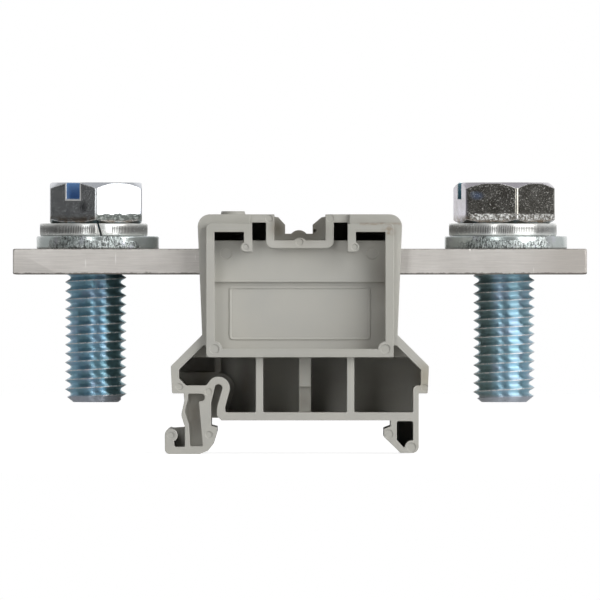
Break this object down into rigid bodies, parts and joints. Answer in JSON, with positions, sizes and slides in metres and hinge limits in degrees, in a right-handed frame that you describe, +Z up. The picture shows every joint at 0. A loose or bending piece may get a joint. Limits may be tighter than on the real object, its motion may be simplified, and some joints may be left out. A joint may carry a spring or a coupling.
{
  "type": "stud terminal block",
  "caption": "Rail-mounted stud terminal block: a moulded housing with a spring foot holds a flat busbar that carries an upright clamping bolt with washers at each end.",
  "frame": {"origin": "middle of the block's own box in X and Y, at the height of the spring foot's underside", "axes": "+X along the busbar to the fixed foot's side, +Y from the nesting frame to the back, along the rail, +Z up towards the bolt heads"},
  "size_m": [0.112, 0.042, 0.053],
  "materials": {
    "polyamide": "light warm grey polyamide, fine satin mould texture",
    "tinned_copper": "tin-plated copper bar, dull, with fine rolling lines and small nicks",
    "zinc_bolt": "bright blue-passivated zinc plating, glossy, scuffed on the head",
    "zinc_washer": "bright zinc plating with a faint iridescent tint",
    "zinc_spring": "bright zinc plating, finely ridged on the rim"
  },
  "bodies": {
    "block": {"housing": "polyamide", "busbar": "tinned_copper"},
    "washers_left": {"flat_washer_left": "zinc_washer", "spring_washer_left": "zinc_spring"},
    "screw_left": {"bolt_left": "zinc_bolt"},
    "washers_right": {"flat_washer_right": "zinc_washer", "spring_washer_right": "zinc_spring"},
    "screw_right": {"bolt_right": "zinc_bolt"}
  },
  "joints": [
    {"name": "turn_left", "type": "hinge", "parent": "block", "child": "washers_left", "pos_m": [-0.04, 0.001, 0.0425], "axis": [0, 0, 1], "range_deg": [0, 5761]},
    {"name": "lift_left", "type": "slide", "parent": "washers_left", "child": "screw_left", "axis": [0, 0, 1], "range_m": [0, 0.028]},
    {"name": "turn_right", "type": "hinge", "parent": "block", "child": "washers_right", "pos_m": [0.04, 0.001, 0.0425], "axis": [0, 0, 1], "range_deg": [0, 5761]},
    {"name": "lift_right", "type": "slide", "parent": "washers_right", "child": "screw_right", "axis": [0, 0, 1], "range_m": [0, 0.028]}
  ],
  "couplings": [
    {"joint": "turn_left", "follows": "lift_left", "rad_per_m": 3590.4},
    {"joint": "turn_right", "follows": "lift_right", "rad_per_m": 3590.4}
  ]
}
